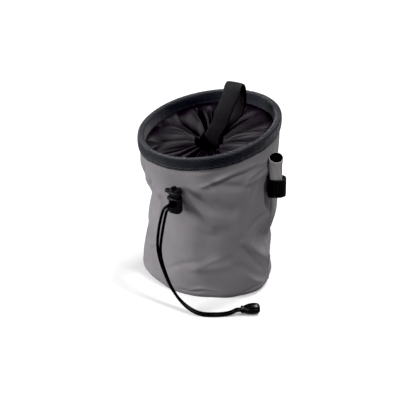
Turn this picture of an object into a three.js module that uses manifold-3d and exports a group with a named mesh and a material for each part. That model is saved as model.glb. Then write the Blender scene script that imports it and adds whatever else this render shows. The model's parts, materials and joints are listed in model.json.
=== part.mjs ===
// Climbing chalk bag: a soft bag that stands on its flat base, closed by a gathered collar.
// Lengths are in millimetres. X runs to the right, Y to the back and Z up.
// The origin is the centre of the base's underside.
import * as THREE from "three";
import { mergeVertices } from "three/addons/utils/BufferGeometryUtils.js";
import Module from "manifold-3d";

const wasm = await Module();
wasm.setup();

// Fabric layers and the gap between touching pieces
const clearance = 0.3;
const wallThickness = 1.8;
const baseThickness = 2.0;
const bandThickness = 1.0;
const collarThickness = 1.1;

// Bag: nominal body radius, and the bound rim, whose plane rises to the right
const bodyRadius = 58;
const rimRadius = 61.4;
const rimHeight = 145;
const rimSlope = 0.16;
const bandHeight = 10.6;

// Closure collar: its hem in the band, its mouth, neck and radial pleats
const hemOverlap = 6;
const mouthRadius = 13;
const mouthDrop = 18;
const neckLength = 7;
const pleatCount = 15;
const pleatHeight = 3.4;

// Pull loop of flat webbing, sewn in the neck, which leans to the right
const webbingWidth = 15;
const webbingThickness = 1.3;
const loopRise = 54;
const loopOpening = 12;
const loopLean = 18;
const loopTwist = THREE.MathUtils.degToRad(-22);

// Cord lock: barrel and sprung plunger, each with a thumb ear on its left, and the plunger's travel
const lockAngle = THREE.MathUtils.degToRad(-117);
const lockHoleHeight = 101;
const barrelWidth = 11.4;
const barrelDepth = 9.6;
const barrelHeight = 14.4;
const barrelAboveHole = 4;
const barrelFloor = 2;
const stemWidth = 8.4;
const stemDepth = 5.6;
const capHeight = 5.8;
const crownWidth = 9.4;
const crownHeight = 2.2;
const notchRadius = 1.7;
const earDepth = 5;
const earHeight = 2.4;
const capEar = 4;
const barrelEar = 1.8;
const edgeRound = 0.9;
const plungerTravel = 2;

// Draw cord: two strands side by side that end in one toggle
const cordDiameter = 2.5;
const toggleLength = 16.5;
const toggleDiameter = 10;

// Brush holder on the right side seam: a fabric sleeve in a folded webbing loop. The loop's fold
// reaches out past the sleeve, and the sleeve's mouth rises to the back.
const sleeveAngle = THREE.MathUtils.degToRad(-32);
const sleeveWidth = 10.8;
const sleeveDepth = 9.6;
const sleeveHeight = 31.5;
const sleeveBottom = 97;
const sleeveThickness = 1.1;
const mouthRise = 4;
const loopHeight = 17;
const loopDrop = 2;
const loopThickness = 1.3;
const loopFold = 2;

// Wall sections: the height as a share of the wall's height on that side, then the radius towards
// each side as a share of bodyRadius.
const wallColumns = [
  "height", "right", "backRight", "back", "backLeft", "left", "frontLeft", "front", "frontRight",
];
const wallSections = [
  [0.0, 0.9, 0.88, 0.86, 0.89, 0.95, 0.87, 0.87, 1.0],
  [0.025, 0.935, 0.92, 0.9, 0.93, 0.99, 0.895, 0.9, 1.04],
  [0.08, 0.915, 0.93, 0.93, 0.94, 0.985, 0.9, 0.92, 1.04],
  [0.2, 0.93, 0.93, 0.93, 0.94, 0.965, 0.91, 0.94, 1.01],
  [0.28, 0.905, 0.935, 0.94, 0.935, 0.95, 0.905, 0.94, 0.98],
  [0.34, 0.945, 0.945, 0.945, 0.93, 0.935, 0.9, 0.94, 0.975],
  [0.44, 1.015, 0.97, 0.96, 0.92, 0.9, 0.89, 0.95, 1.0],
  [0.55, 1.025, 0.99, 0.97, 0.91, 0.866, 0.885, 0.96, 1.01],
  [0.63, 1.015, 0.995, 0.975, 0.925, 0.868, 0.89, 0.965, 1.01],
  [0.72, 1.005, 1.005, 1.0, 0.98, 0.965, 0.935, 0.985, 1.01],
  [0.8, 1.01, 1.01, 1.01, 1.01, 1.01, 0.975, 1.0, 1.01],
  [0.9, 1.015, 1.02, 1.02, 1.015, 1.015, 1.005, 1.015, 1.015],
];

// Folds pressed in the wall: a line from one angle and height to another, with its width and depth.
// Angles are in degrees, heights are shares of the wall, widths and depths shares of bodyRadius.
const foldColumns = ["fromAngle", "fromHeight", "toAngle", "toHeight", "width", "depth"];
const wallFolds = [
  [-114, 0.72, -86, 0.54, 0.07, 0.028],
  [-97, 0.72, -70, 0.6, 0.1, -0.03],
  [-86, 0.81, -56, 0.74, 0.06, -0.034],
  [-82, 0.85, -40, 0.85, 0.05, 0.016],
  [-60, 0.75, -18, 0.79, 0.06, 0.024],
  [-58, 0.36, -24, 0.16, 0.08, 0.03],
  [-72, 0.27, -38, 0.07, 0.09, -0.026],
  [-40, 0.36, -20, 0.28, 0.07, -0.028],
  [-143, 0.68, -146, 0.36, 0.08, 0.03],
  [-172, 0.76, -154, 0.64, 0.07, -0.04],
  [-100, 0.22, -66, 0.25, 0.07, 0.014],
  [60, 0.62, 118, 0.54, 0.1, -0.03],
  [80, 0.3, 140, 0.22, 0.12, 0.024],
];

// Pleats across the collar: share of the way from hem to mouth, rise above the straight line as a
// share of mouthDrop, and pleat height as a share of pleatHeight.
const collarColumns = ["way", "rise", "pleat"];
const collarSections = [
  [0.0, 0.0, 0.0],
  [0.06, 0.0, 0.1],
  [0.16, 0.03, 0.55],
  [0.3, 0.08, 0.95],
  [0.46, 0.1, 1.05],
  [0.64, 0.07, 1.0],
  [0.84, 0.02, 0.75],
  [1.0, -0.06, 0.3],
];

// Side view of the pull loop: distance across as a share of loopOpening, lean as a share of
// loopLean and height as a share of loopRise. The ends are sewn in the neck.
const loopColumns = ["across", "lean", "height"];
const loopRoute = [
  [0.0, 0.0, -0.16],
  [0.0, 0.0, 0.0],
  [-0.06, 0.18, 0.15],
  [-0.12, 0.42, 0.3],
  [-0.14, 0.57, 0.48],
  [-0.1, 0.76, 0.66],
  [-0.02, 0.93, 0.83],
  [0.12, 0.99, 0.96],
  [0.42, 1.02, 1.0],
  [0.74, 1.05, 0.955],
  [0.96, 1.06, 0.82],
  [1.02, 1.04, 0.62],
  [0.9, 0.86, 0.38],
  [0.46, 0.28, 0.14],
  [0.134, 0.0, -0.04],
  [0.134, 0.0, -0.16],
];

// Brush sleeve: the way up as a share of sleeveHeight, the width as a share of its own, and the
// share of mouthRise by which the back is higher than the front.
const sleeveColumns = ["height", "width", "rise"];
const sleeveSections = [
  [0, 1, 0],
  [0.5, 0.98, 0],
  [0.8, 1.02, 0.4],
  [1, 1.12, 1],
];

// Outline of the toggle: radius as a share of half toggleDiameter, and the way along toggleLength
const toggleColumns = ["radius", "along"];
const toggleProfile = [
  [0, 0],
  [0.72, 0],
  [0.84, 0.05],
  [0.8, 0.14],
  [0.94, 0.32],
  [1, 0.52],
  [0.9, 0.76],
  [0.6, 0.93],
  [0, 1],
];

// Middle line of the cord pair after it leaves the lock, the direction in plan, in degrees, in
// which the two strands lie beside each other, and how far apart, in cord diameters.
const cordColumns = ["x", "y", "z", "spread", "apart"];
const cordRoute = [
  [-34.0, -65.6, 101.0, -20, 1.14],
  [-36.4, -66.6, 99.0, -18, 1.2],
  [-38.2, -66.0, 92.6, -16, 1.32],
  [-39.8, -65.2, 84.4, -17, 1.4],
  [-41.1, -64.5, 75.7, -18, 1.4],
  [-42.0, -64.7, 68.2, -24, 1.32],
  [-42.4, -65.0, 60.6, -34, 1.2],
  [-41.9, -65.5, 53.9, -44, 1.14],
  [-40.4, -66.0, 45.8, -52, 1.14],
  [-37.8, -67.0, 37.0, -58, 1.14],
  [-33.9, -68.4, 26.2, -62, 1.14],
  [-29.8, -69.8, 18.2, -66, 1.14],
  [-25.8, -71.2, 12.5, -70, 1.14],
  [-21.2, -73.2, 8.0, -76, 1.14],
  [-16.2, -75.2, 4.7, -82, 1.14],
  [-11.1, -77.0, 2.5, -88, 1.14],
  [-5.0, -78.4, 1.55, -90, 1.14],
  [2.5, -79.0, 1.5, -90, 1.14],
  [11.0, -78.5, 1.55, -90, 1.14],
  [18.0, -77.7, 2.6, -90, 1.14],
  [23.4, -77.1, 5.0, -90, 1.14],
  [26.8, -76.7, 5.1, -90, 1.14],
];

const up = new THREE.Vector3(0, 0, 1);
const colours = {
  body: new THREE.MeshStandardMaterial({ color: 0x8b888b, roughness: 0.85, metalness: 0 }),
  band: new THREE.MeshStandardMaterial({ color: 0x33333b, roughness: 0.8, metalness: 0 }),
  collar: new THREE.MeshStandardMaterial({ color: 0x1d191f, roughness: 0.5, metalness: 0 }),
  webbing: new THREE.MeshStandardMaterial({ color: 0x1c1a1d, roughness: 0.65, metalness: 0 }),
  cord: new THREE.MeshStandardMaterial({ color: 0x121114, roughness: 0.7, metalness: 0 }),
  plastic: new THREE.MeshStandardMaterial({ color: 0x141416, roughness: 0.4, metalness: 0 }),
};
const group = new THREE.Group();

function addPiece(name, geometry, material) {
  geometry.computeVertexNormals();
  const mesh = new THREE.Mesh(geometry, material);
  mesh.name = name;
  group.add(mesh);
  return mesh;
}

// Turns a table's rows into objects keyed by its columns
function rowsOf(columns, rows) {
  return rows.map((row) => Object.fromEntries(columns.map((column, i) => [column, row[i]])));
}

// A smooth curve through a table: its first column is where, the others are the values there
function curveThrough(rows) {
  const where = rows.map((row) => row[0]);
  const values = rows.flatMap((row) => row.slice(1));
  return new THREE.CubicInterpolant(where, values, rows[0].length - 1);
}

function signedVolume(geometry) {
  const position = geometry.attributes.position;
  const index = geometry.index;
  const corners = [new THREE.Vector3(), new THREE.Vector3(), new THREE.Vector3()];
  let total = 0;
  for (let i = 0; i < index.count; i += 3) {
    corners.forEach((corner, k) => corner.fromBufferAttribute(position, index.getX(i + k)));
    total += corners[0].dot(corners[1].clone().cross(corners[2]));
  }
  return total / 6;
}

// Joins rings of points into one closed solid: round in a circle, or from end to end with caps
function loft(rings, closed) {
  const count = rings[0].length;
  const triangles = [];
  const spans = closed ? rings.length : rings.length - 1;
  for (let row = 0; row < spans; row += 1) {
    const here = row * count;
    const next = ((row + 1) % rings.length) * count;
    for (let i = 0; i < count; i += 1) {
      const j = (i + 1) % count;
      triangles.push([here + i, here + j, next + j], [here + i, next + j, next + i]);
    }
  }
  if (!closed) {
    const last = (rings.length - 1) * count;
    for (let i = 1; i < count - 1; i += 1) {
      triangles.push([0, i + 1, i], [last, last + i, last + i + 1]);
    }
  }
  const geometry = new THREE.BufferGeometry().setFromPoints(rings.flat());
  geometry.setIndex(triangles.flat());
  if (signedVolume(geometry) < 0) {
    geometry.setIndex(triangles.flatMap(([a, b, c]) => [a, c, b]));
  }
  return geometry;
}

function solidFrom(geometry) {
  const bare = geometry.clone();
  bare.deleteAttribute("normal");
  bare.deleteAttribute("uv");
  const merged = mergeVertices(bare, 1e-4);
  const triVerts = new Uint32Array(merged.index.array);
  const vertProperties = merged.attributes.position.array;
  return new wasm.Manifold(new wasm.Mesh({ numProp: 3, vertProperties, triVerts }));
}

function geometryFrom(solid) {
  const mesh = solid.getMesh();
  const geometry = new THREE.BufferGeometry();
  geometry.setAttribute("position", new THREE.BufferAttribute(mesh.vertProperties, 3));
  geometry.setIndex(new THREE.BufferAttribute(mesh.triVerts, 1));
  return geometry;
}

function anglesAround(count) {
  return Array.from({ length: count }, (_, i) => (i / count) * 2 * Math.PI);
}

function outwards(angle) {
  return new THREE.Vector3(Math.cos(angle), Math.sin(angle), 0);
}

// Height of the wall's top edge under the rim's plane, on the side that an angle faces
const rimStack = bandThickness + clearance;
function wallTop(angle) {
  return rimHeight - rimStack + rimSlope * (rimRadius - rimStack) * Math.cos(angle);
}

// Depth that all folds together press in or out, by the distance from each fold's middle line
const folds = rowsOf(foldColumns, wallFolds);
function foldDepth(angle, share) {
  const degrees = THREE.MathUtils.radToDeg(angle);
  let depth = 0;
  for (const fold of folds) {
    const turn = THREE.MathUtils.euclideanModulo(degrees - fold.fromAngle + 180, 360) - 180;
    const across = THREE.MathUtils.degToRad(turn);
    const rise = ((share - fold.fromHeight) * rimHeight) / bodyRadius;
    const runAcross = THREE.MathUtils.degToRad(fold.toAngle - fold.fromAngle);
    const runUp = ((fold.toHeight - fold.fromHeight) * rimHeight) / bodyRadius;
    const run = runAcross * runAcross + runUp * runUp;
    const along = THREE.MathUtils.clamp((across * runAcross + rise * runUp) / run, 0, 1);
    const away = Math.hypot(across - along * runAcross, rise - along * runUp) / fold.width;
    depth += fold.depth * bodyRadius * Math.exp(-away * away);
  }
  return depth;
}

// Radius of the wall's outside at an angle and a share of its height. The table's eight sides are
// joined by a smooth curve round the bag, and the top edge turns into the round rim.
const wallCurve = curveThrough(wallSections);
const tableTop = wallSections[wallSections.length - 1][0];
const sides = wallColumns.length - 1;
function wallRadius(angle, share) {
  const shares = wallCurve.evaluate(Math.min(share, tableTop));
  const turn = THREE.MathUtils.euclideanModulo((angle / (2 * Math.PI)) * sides, sides);
  const side = Math.floor(turn);
  const [a, b, c, d] = [-1, 0, 1, 2].map((step) => shares[(side + step + sides) % sides]);
  const f = turn - side;
  const smooth = b + 0.5 * f * (c - a + f * (2 * a - 5 * b + 4 * c - d + f * (3 * (b - c) + d - a)));
  const body = smooth * bodyRadius + foldDepth(angle, share);
  const rim = rimRadius - rimStack;
  return THREE.MathUtils.lerp(body, rim, THREE.MathUtils.smoothstep(share, tableTop - 0.06, 1));
}

// A point at a distance below the wall's top edge, moved outwards from the wall's outside
function wallPoint(angle, drop, offset) {
  const top = wallTop(angle);
  const radius = wallRadius(angle, Math.min(1, 1 - drop / top)) + offset;
  return outwards(angle).multiplyScalar(radius).setZ(top - drop);
}

// Bag wall: outside from the base to the top edge, then inside back down
const wallColumnsAround = 51;
const wallShares = [
  0, 0.012, 0.035, 0.09, 0.17, 0.25, 0.33, 0.41, 0.48, 0.55, 0.62, 0.69, 0.76, 0.83, 0.9, 0.95, 1,
];

function makeWall() {
  const rings = anglesAround(wallColumnsAround).map((angle) => {
    const top = wallTop(angle);
    const outside = wallShares.map((share) => wallPoint(angle, top * (1 - share), 0));
    const inside = wallShares.map((share) => wallPoint(angle, top * (1 - share), -wallThickness));
    return [...outside, ...inside.reverse()];
  });
  return loft(rings, true);
}

// Base: a flat disc that fits inside the wall's lower edge
function makeBase() {
  const outline = (height) => anglesAround(wallColumnsAround).map((angle) => {
    const inset = wallThickness + clearance;
    const radius = wallRadius(angle, 0) - inset;
    return outwards(angle).multiplyScalar(radius).setZ(height);
  });
  return loft([outline(0), outline(baseThickness)], false);
}

// Rim band: a tape folded over the wall and the collar's hem
const hemOutside = -(wallThickness + clearance);
const hemInside = hemOutside - collarThickness;
const bandInside = hemInside - clearance - bandThickness;
const bandLeg = bandHeight - rimStack;
const crownSteps = 3;

function makeBand() {
  const middle = (bandInside + clearance + bandThickness) / 2;
  const halfWidth = clearance + bandThickness - middle;
  const rings = anglesAround(wallColumnsAround).map((angle) => {
    const crown = Array.from({ length: crownSteps + 1 }, (_, i) => {
      const turn = (i / crownSteps) * Math.PI;
      return wallPoint(angle, -rimStack * Math.sin(turn), middle + halfWidth * Math.cos(turn));
    });
    const legs = [0.5, 1].map((share) => share * bandLeg);
    return [
      ...legs.toReversed().map((drop) => wallPoint(angle, drop, clearance + bandThickness)),
      ...crown,
      ...legs.map((drop) => wallPoint(angle, drop, bandInside)),
      ...legs.toReversed().map((drop) => wallPoint(angle, drop, bandInside + bandThickness)),
      wallPoint(angle, -clearance, bandInside + bandThickness),
      wallPoint(angle, -clearance, clearance),
      ...legs.map((drop) => wallPoint(angle, drop, clearance)),
    ];
  });
  return loft(rings, true);
}

// Collar: hem inside the band, pleated funnel down to the mouth, and a short neck
const collarColumnsAround = 72;
const mouthHeight = rimHeight - mouthDrop;

// Pleats are rounded on top with sharp valleys, and bunch a little unevenly round the mouth
function pleatAt(angle) {
  const bunched = angle + 0.1 * Math.sin(2 * angle + 0.6) + 0.05 * Math.sin(5 * angle);
  const wave = 2 * Math.abs(Math.sin((bunched * pleatCount) / 2)) ** 0.8 - 1.2;
  return wave * (1 + 0.25 * Math.sin(3 * angle + 0.5));
}

function makeCollar() {
  const rows = rowsOf(collarColumns, collarSections);
  const rings = anglesAround(collarColumnsAround).map((angle) => {
    const hem = wallPoint(angle, bandLeg + clearance, hemInside);
    const hemRadius = Math.hypot(hem.x, hem.y);
    const pleat = pleatAt(angle);
    const top = rows.map(({ way, rise, pleat: share }) => {
      const radius = THREE.MathUtils.lerp(hemRadius, mouthRadius, way);
      const straight = THREE.MathUtils.lerp(hem.z, mouthHeight, way);
      const height = straight + rise * mouthDrop + share * pleat * pleatHeight;
      return outwards(angle).multiplyScalar(radius).setZ(height);
    });
    const under = top.map((point) => point.clone().setZ(point.z - collarThickness * 1.5));
    under[0] = wallPoint(angle, bandLeg + clearance + collarThickness * 1.5, hemOutside);
    const neckInside = outwards(angle).multiplyScalar(mouthRadius - collarThickness);
    const neckOutside = outwards(angle).multiplyScalar(mouthRadius);
    return [
      wallPoint(angle, bandLeg - hemOverlap, hemOutside),
      wallPoint(angle, bandLeg - hemOverlap, hemInside),
      ...top,
      neckInside.clone().setZ(mouthHeight - neckLength * 0.3),
      neckInside.clone().setZ(mouthHeight - neckLength),
      neckOutside.clone().setZ(mouthHeight - neckLength),
      ...under.reverse(),
    ];
  });
  return loft(rings, true);
}

// Pull loop: a webbing strap swept along its side view
const alongWebbing = outwards(loopTwist);
const acrossWebbing = outwards(loopTwist + Math.PI / 2);
const neckSagitta = mouthRadius - Math.sqrt(mouthRadius ** 2 - (webbingWidth / 2 + clearance) ** 2);

function makeLoop() {
  const neckFace = mouthRadius - collarThickness - neckSagitta - clearance;
  const seat = neckFace - webbingThickness * 1.5 - clearance;
  const points = rowsOf(loopColumns, loopRoute).map(({ across, lean, height }) => (
    new THREE.Vector3(0, 0, mouthHeight + height * loopRise)
      .addScaledVector(acrossWebbing, seat + across * loopOpening)
      .addScaledVector(alongWebbing, lean * loopLean)
  ));
  const curve = new THREE.CatmullRomCurve3(points, false, "centripetal");
  const steps = 30;
  const rings = Array.from({ length: steps + 1 }, (_, i) => {
    const point = curve.getPoint(i / steps);
    const normal = curve.getTangent(i / steps).cross(alongWebbing).normalize();
    const corner = (side, face) => point.clone()
      .addScaledVector(alongWebbing, (side * webbingWidth) / 2)
      .addScaledVector(normal, (face * webbingThickness) / 2);
    return [corner(-1, -1), corner(1, -1), corner(1, 1), corner(-1, 1)];
  });
  return loft(rings, false);
}

// How far the wall reaches towards an angle, between two heights and across a piece's half width
const reachSteps = [0, 0.25, 0.5, 0.75, 1];
function wallReach(angle, low, high, halfWidth) {
  const heights = reachSteps.map((step) => THREE.MathUtils.lerp(low, high, step));
  const turns = [-1, -0.5, 0, 0.5, 1].map((share) => (share * halfWidth) / bodyRadius);
  return Math.max(...heights.flatMap((height) => (
    turns.map((turn) => wallRadius(angle + turn, height / wallTop(angle)) * Math.cos(turn))
  )));
}

// Cord lock: it stands against the wall, its hole facing outwards from the bag
const barrelTop = barrelAboveHole;
const barrelBottom = barrelTop - barrelHeight;
const capBottom = barrelTop + clearance + plungerTravel;
const capTop = capBottom + capHeight;
const lockOut = outwards(lockAngle);
const lockSide = outwards(lockAngle + Math.PI / 2);
const lockLow = lockHoleHeight + barrelBottom;
const lockHigh = lockHoleHeight + capTop;
const lockReach = wallReach(lockAngle, lockLow, lockHigh, barrelWidth / 2 + capEar);
const lockDistance = lockReach + clearance + barrelDepth / 2;
const lockCentre = lockOut.clone().multiplyScalar(lockDistance).setZ(lockHoleHeight);
const pairWidth = 2 * cordDiameter + clearance;

// Places a piece drawn round the lock's hole: X along the bag, Y to the wall, Z up
function atLock(geometry) {
  const frame = new THREE.Matrix4().makeBasis(lockSide, lockOut.clone().negate(), up);
  return geometry.applyMatrix4(frame.setPosition(lockCentre));
}

function ovalShape(width, depth) {
  const square = (value) => Math.sign(value) * Math.abs(value) ** 0.7;
  return new THREE.Shape(anglesAround(16).map((angle) => (
    new THREE.Vector2((square(Math.cos(angle)) * width) / 2, (square(Math.sin(angle)) * depth) / 2)
  )));
}

function ovalBlock(width, depth, low, high, round) {
  const geometry = new THREE.ExtrudeGeometry(ovalShape(width - 2 * round, depth - 2 * round), {
    depth: high - low - 2 * round,
    bevelThickness: round,
    bevelSize: round,
    bevelSegments: 2,
    curveSegments: 1,
  });
  return geometry.translate(0, 0, low + round);
}

function boxBlock(width, depth, low, high) {
  return new THREE.BoxGeometry(width, depth, high - low).translate(0, 0, (low + high) / 2);
}

// An ear beside a block of the lock, on the side away from the brush holder
function earBlock(reach, low) {
  const ear = ovalBlock(2 * reach, earDepth, low, low + earHeight, edgeRound / 2);
  return ear.translate(-barrelWidth / 2, 0, 0);
}

// A slot through the lock for both strands, reaching below and above the cord's middle
function strandSlot(width, below, above) {
  const round = Math.min(below, above);
  const shape = new THREE.Shape();
  shape.moveTo(-width / 2, -below + round);
  shape.absarc(-width / 2 + round, -below + round, round, Math.PI, 1.5 * Math.PI, false);
  shape.absarc(width / 2 - round, -below + round, round, 1.5 * Math.PI, 2 * Math.PI, false);
  shape.absarc(width / 2 - round, above - round, round, 0, 0.5 * Math.PI, false);
  shape.absarc(-width / 2 + round, above - round, round, 0.5 * Math.PI, Math.PI, false);
  const length = 3 * barrelDepth;
  const options = { depth: length, bevelEnabled: false, curveSegments: 4 };
  const geometry = new THREE.ExtrudeGeometry(shape, options);
  return geometry.rotateX(Math.PI / 2).translate(0, length / 2, 0);
}

const slotWidth = pairWidth + 2 * clearance;
const slotHalf = cordDiameter / 2 + clearance;
const stemBottom = barrelBottom + barrelFloor + clearance + plungerTravel;

function makeBarrel() {
  const boreWidth = stemWidth + 2 * clearance;
  const boreDepth = stemDepth + 2 * clearance;
  const bore = boxBlock(boreWidth, boreDepth, barrelBottom + barrelFloor, barrelTop + barrelFloor);
  const barrel = solidFrom(ovalBlock(barrelWidth, barrelDepth, barrelBottom, barrelTop, edgeRound))
    .add(solidFrom(earBlock(barrelEar, barrelTop - edgeRound - earHeight)))
    .subtract(solidFrom(bore))
    .subtract(solidFrom(strandSlot(slotWidth, slotHalf, slotHalf)));
  return atLock(geometryFrom(barrel));
}

function makePlunger() {
  const shoulder = capTop - crownHeight;
  const notch = new THREE.CylinderGeometry(notchRadius, notchRadius, 2 * barrelDepth, 12);
  const plunger = solidFrom(boxBlock(stemWidth, stemDepth, stemBottom, shoulder))
    .add(solidFrom(ovalBlock(barrelWidth, barrelDepth, capBottom, shoulder, edgeRound)))
    .add(solidFrom(ovalBlock(crownWidth, barrelDepth - edgeRound, capBottom, capTop, edgeRound)))
    .add(solidFrom(earBlock(capEar, capBottom + edgeRound)))
    .subtract(solidFrom(notch.translate(0, 0, capTop)))
    .subtract(solidFrom(strandSlot(slotWidth, slotHalf, slotHalf + plungerTravel)));
  return atLock(geometryFrom(plunger));
}

// The hole in the wall behind the lock
function cutCordHole(wall) {
  const slot = strandSlot(slotWidth, slotHalf, slotHalf);
  return geometryFrom(solidFrom(wall).subtract(solidFrom(atLock(slot))));
}

// Draw cord: from the inside of the wall, through the lock, down and along the ground
const cordStart = wallThickness + 2 * clearance + barrelDepth / 2;
const cordStraight = barrelDepth / 2 + edgeRound;
const throughLock = [-cordStart, 0, cordStraight].map((distance) => ({
  point: lockCentre.clone().addScaledVector(lockOut, distance),
  spread: lockSide,
  apart: 1 + clearance / cordDiameter,
}));
const alongRoute = rowsOf(cordColumns, cordRoute).map(({ x, y, z, spread, apart }) => ({
  point: new THREE.Vector3(x, y, z),
  spread: outwards(THREE.MathUtils.degToRad(spread)),
  apart,
}));
const pairStations = [...throughLock, ...alongRoute];
const pairMiddle = new THREE.CatmullRomCurve3(pairStations.map(({ point }) => point), false, "centripetal");

function strandCurve(side) {
  const points = pairStations.map(({ point, spread, apart }, i) => {
    const tangent = pairMiddle.getTangent(i / (pairStations.length - 1));
    const beside = spread.clone().addScaledVector(tangent, -spread.dot(tangent)).normalize();
    return point.clone().addScaledVector(beside, (side * apart * cordDiameter) / 2);
  });
  return new THREE.CatmullRomCurve3(points, false, "centripetal");
}

const strandSteps = 30;

function makeStrand(side) {
  const corners = anglesAround(8).map((angle) => (
    new THREE.Vector2(Math.cos(angle), Math.sin(angle)).multiplyScalar(cordDiameter / 2)
  ));
  const options = { steps: strandSteps, bevelEnabled: false, extrudePath: strandCurve(side) };
  return new THREE.ExtrudeGeometry(new THREE.Shape(corners), options);
}

// Toggle: an oval bead on the strands' ends, with a rimmed entry face
function makeToggle() {
  const half = toggleDiameter / 2;
  const profile = rowsOf(toggleColumns, toggleProfile).map(({ radius, along }) => (
    new THREE.Vector2(radius * half, along * toggleLength)
  ));
  const geometry = new THREE.LatheGeometry(profile, 16).rotateX(Math.PI / 2);
  const end = pairMiddle.getPoint(1);
  const direction = pairMiddle.getTangent(1);
  const beside = up.clone().cross(direction).normalize();
  const placed = new THREE.Matrix4().makeBasis(beside, direction.clone().cross(beside), direction);
  placed.setPosition(end.addScaledVector(direction, clearance));
  return geometry.applyMatrix4(placed);
}

// Brush holder: a flared oval sleeve that stands in a loop of webbing, both against the wall
const holderSteps = 28;
const loopBottom = sleeveBottom - loopDrop;
const loopTop = loopBottom + loopHeight;
const loopOver = loopThickness + clearance;
const sleeveFlare = Math.max(...rowsOf(sleeveColumns, sleeveSections).map(({ width }) => width));

// How far an upright oval reaches towards the wall from its centre
function ovalReach(width, depth) {
  return Math.hypot((Math.cos(sleeveAngle) * width) / 2, (Math.sin(sleeveAngle) * depth) / 2);
}

const holderDistance = clearance + Math.max(
  wallReach(sleeveAngle, loopBottom, loopTop, sleeveWidth / 2)
    + ovalReach(sleeveWidth + 2 * loopOver, sleeveDepth + 2 * loopOver),
  wallReach(sleeveAngle, loopTop, sleeveBottom + sleeveHeight + mouthRise, sleeveWidth / 2)
    + ovalReach(sleeveWidth * sleeveFlare, sleeveDepth * sleeveFlare),
);
const holderCentre = outwards(sleeveAngle).multiplyScalar(holderDistance);

function holderPoint(angle, halfWidth, halfDepth, height) {
  const across = new THREE.Vector3(Math.cos(angle) * halfWidth, Math.sin(angle) * halfDepth, height);
  return across.add(holderCentre);
}

function makeSleeve() {
  const rows = rowsOf(sleeveColumns, sleeveSections);
  const rings = anglesAround(holderSteps).map((angle) => {
    const side = (inset) => rows.map(({ height, width, rise }) => {
      const z = sleeveBottom + height * sleeveHeight + (rise * mouthRise * (1 + Math.sin(angle))) / 2;
      return holderPoint(angle, (width * sleeveWidth) / 2 - inset, (width * sleeveDepth) / 2 - inset, z);
    });
    return [...side(0), ...side(sleeveThickness).reverse()];
  });
  return loft(rings, true);
}

// The webbing loop follows the sleeve and runs out to a pinched fold on the right
function makeBrushLoop() {
  const face = (over, fold, height) => (angle) => {
    const pinch = fold * Math.max(0, Math.cos(angle)) ** 4;
    return holderPoint(angle, sleeveWidth / 2 + over + pinch, sleeveDepth / 2 + over, height);
  };
  const inner = loopFold - loopThickness;
  const corners = [
    face(loopOver, loopFold, loopBottom),
    face(loopOver, loopFold, loopTop),
    face(clearance, inner, loopTop),
    face(clearance, inner, loopBottom),
  ];
  return loft(anglesAround(holderSteps).map((angle) => corners.map((corner) => corner(angle))), true);
}

addPiece("bag_body", cutCordHole(makeWall()), colours.body);
addPiece("base_panel", makeBase(), colours.body);
addPiece("rim_band", makeBand(), colours.band);
addPiece("closure_collar", makeCollar(), colours.collar);
addPiece("pull_loop", makeLoop(), colours.webbing);
addPiece("lock_barrel", makeBarrel(), colours.plastic);
addPiece("lock_plunger", makePlunger(), colours.plastic);
addPiece("draw_cord_left", makeStrand(-1), colours.cord);
addPiece("draw_cord_right", makeStrand(1), colours.cord);
addPiece("cord_end", makeToggle(), colours.plastic);
addPiece("brush_sleeve", makeSleeve(), colours.body);
addPiece("brush_loop", makeBrushLoop(), colours.webbing);

export default group;
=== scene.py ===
"""Looks for the climbing chalk bag. Blender works in metres, in the CAD's frame."""
import json
import math

import bpy
import numpy as np
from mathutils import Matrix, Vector

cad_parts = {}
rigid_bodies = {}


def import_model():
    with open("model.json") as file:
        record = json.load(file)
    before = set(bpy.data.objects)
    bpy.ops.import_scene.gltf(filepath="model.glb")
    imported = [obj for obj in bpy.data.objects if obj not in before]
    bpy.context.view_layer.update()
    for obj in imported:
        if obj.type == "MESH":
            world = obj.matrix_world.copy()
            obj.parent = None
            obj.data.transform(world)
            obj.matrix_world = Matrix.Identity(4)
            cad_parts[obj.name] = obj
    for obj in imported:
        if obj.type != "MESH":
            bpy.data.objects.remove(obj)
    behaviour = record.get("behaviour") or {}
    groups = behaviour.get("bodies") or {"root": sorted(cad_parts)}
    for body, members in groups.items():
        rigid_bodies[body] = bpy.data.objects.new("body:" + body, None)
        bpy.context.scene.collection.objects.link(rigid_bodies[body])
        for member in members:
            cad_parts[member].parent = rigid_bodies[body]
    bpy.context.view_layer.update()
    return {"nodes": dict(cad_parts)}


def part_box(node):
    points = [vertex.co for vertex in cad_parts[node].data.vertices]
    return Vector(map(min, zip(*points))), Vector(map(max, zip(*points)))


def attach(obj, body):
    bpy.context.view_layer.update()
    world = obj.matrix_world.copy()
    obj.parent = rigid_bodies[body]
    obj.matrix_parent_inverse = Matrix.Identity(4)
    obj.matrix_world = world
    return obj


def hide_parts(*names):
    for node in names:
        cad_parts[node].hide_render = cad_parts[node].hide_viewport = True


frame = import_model()
scene = bpy.context.scene
scene.view_settings.view_transform = "Standard"
scene.view_settings.use_curve_mapping = True
scene.view_settings.curve_mapping.black_level = (0.008, 0.008, 0.008)
scene.view_settings.curve_mapping.update()
MM = 0.001

# Camera at the photograph's angle. TARGET shows at TARGET_PIXEL in a frame of IMAGE by IMAGE pixels, and
# PIXEL is the length in metres that one pixel covers there.
ELEVATION = math.radians(31)
DISTANCE = 1.5
TARGET = Vector((0, 0, 0.075))
TARGET_PIXEL = (209.3, 193.3)
PIXEL = 0.000872
IMAGE = 400

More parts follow.
